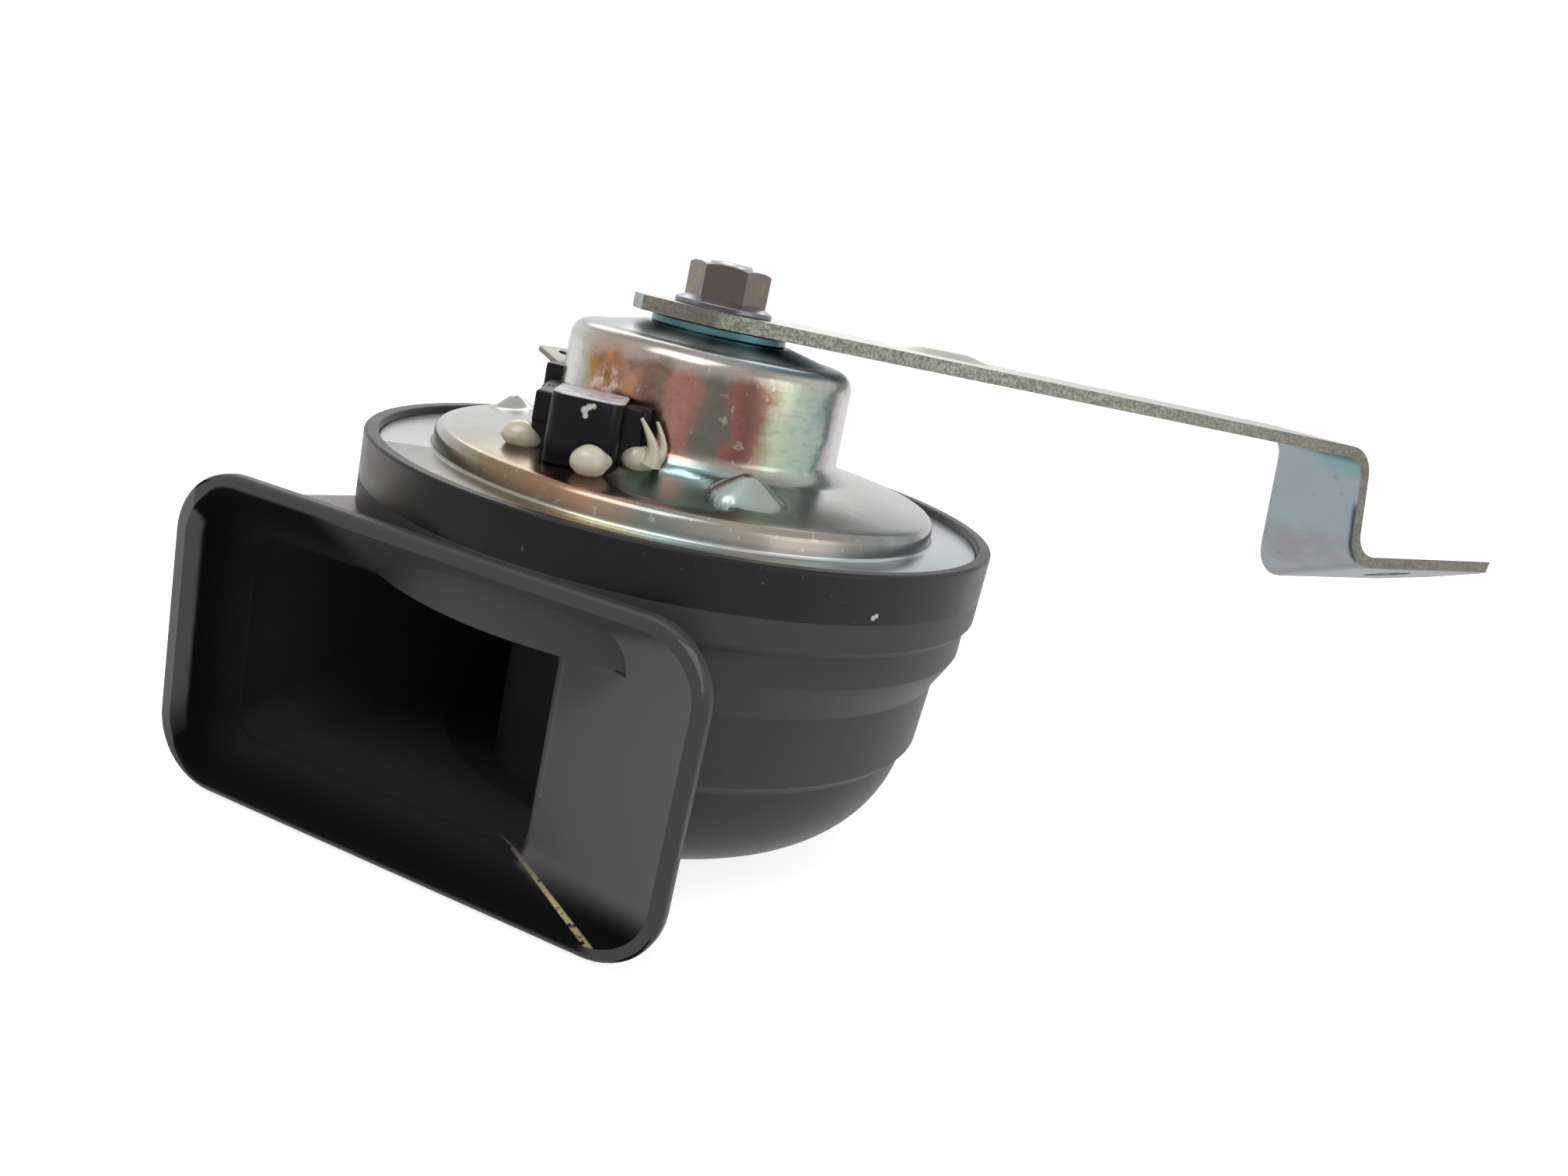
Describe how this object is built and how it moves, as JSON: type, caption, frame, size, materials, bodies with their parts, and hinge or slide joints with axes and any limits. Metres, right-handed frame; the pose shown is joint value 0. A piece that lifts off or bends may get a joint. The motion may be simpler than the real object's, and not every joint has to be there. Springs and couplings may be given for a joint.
{
  "type": "car horn",
  "caption": "Trumpet-type electric car horn: steel magnet housing over a spiral plastic trumpet with a flared mouth, hung from a cranked strap bracket.",
  "frame": {"origin": "centre of the fixing hole at the underside of the bracket's foot", "axes": "+X along the bracket strap from the horn to the foot, +Z along the horn's axis, from the trumpet to the stud nut"},
  "size_m": [0.229, 0.0966, 0.0796],
  "materials": {
    "black_plastic": "satin moulded",
    "cover_plastic": "satin moulded",
    "zinc_steel": "bright zinc with a faint tint",
    "strap_steel": "dull zinc",
    "nut_steel": "zinc, slightly yellowed",
    "core_steel": "machined",
    "spring_steel": "rolled",
    "gasket_fibre": "matt",
    "bobbin_nylon": "natural",
    "copper_wire": "enamelled copper wire",
    "contact_brass": "rolled",
    "tungsten": "ground",
    "insulator": "laminated board",
    "terminal_plastic": "gloss",
    "blade_metal": "tinned",
    "sealant": "cured cream sealant, glossy"
  },
  "bodies": {
    "root": {"snail_body": "black_plastic", "sound_cover": "cover_plastic", "gasket_lower": "gasket_fibre", "diaphragm": "spring_steel", "gasket_upper": "gasket_fibre", "housing": "zinc_steel", "pole_core_stud": "core_steel", "coil_bobbin": "bobbin_nylon", "coil_winding": "copper_wire", "armature": "core_steel", "armature_washer": "core_steel", "terminal_base": "terminal_plastic", "blade_terminal": "blade_metal", "sealing_bead_left": "sealant", "sealing_bead_front": "sealant", "sealing_bead_right": "sealant", "spacer_washer": "zinc_steel", "bracket": "strap_steel", "flange_nut": "nut_steel", "fixed_contact_arm": "contact_brass", "fixed_contact": "tungsten", "moving_contact": "tungsten", "moving_contact_arm": "spring_steel", "contact_insulator": "insulator", "contact_pusher": "insulator", "contact_base": "insulator", "contact_rivet_a": "contact_brass", "contact_rivet_b": "contact_brass"}
  },
  "joints": []
}
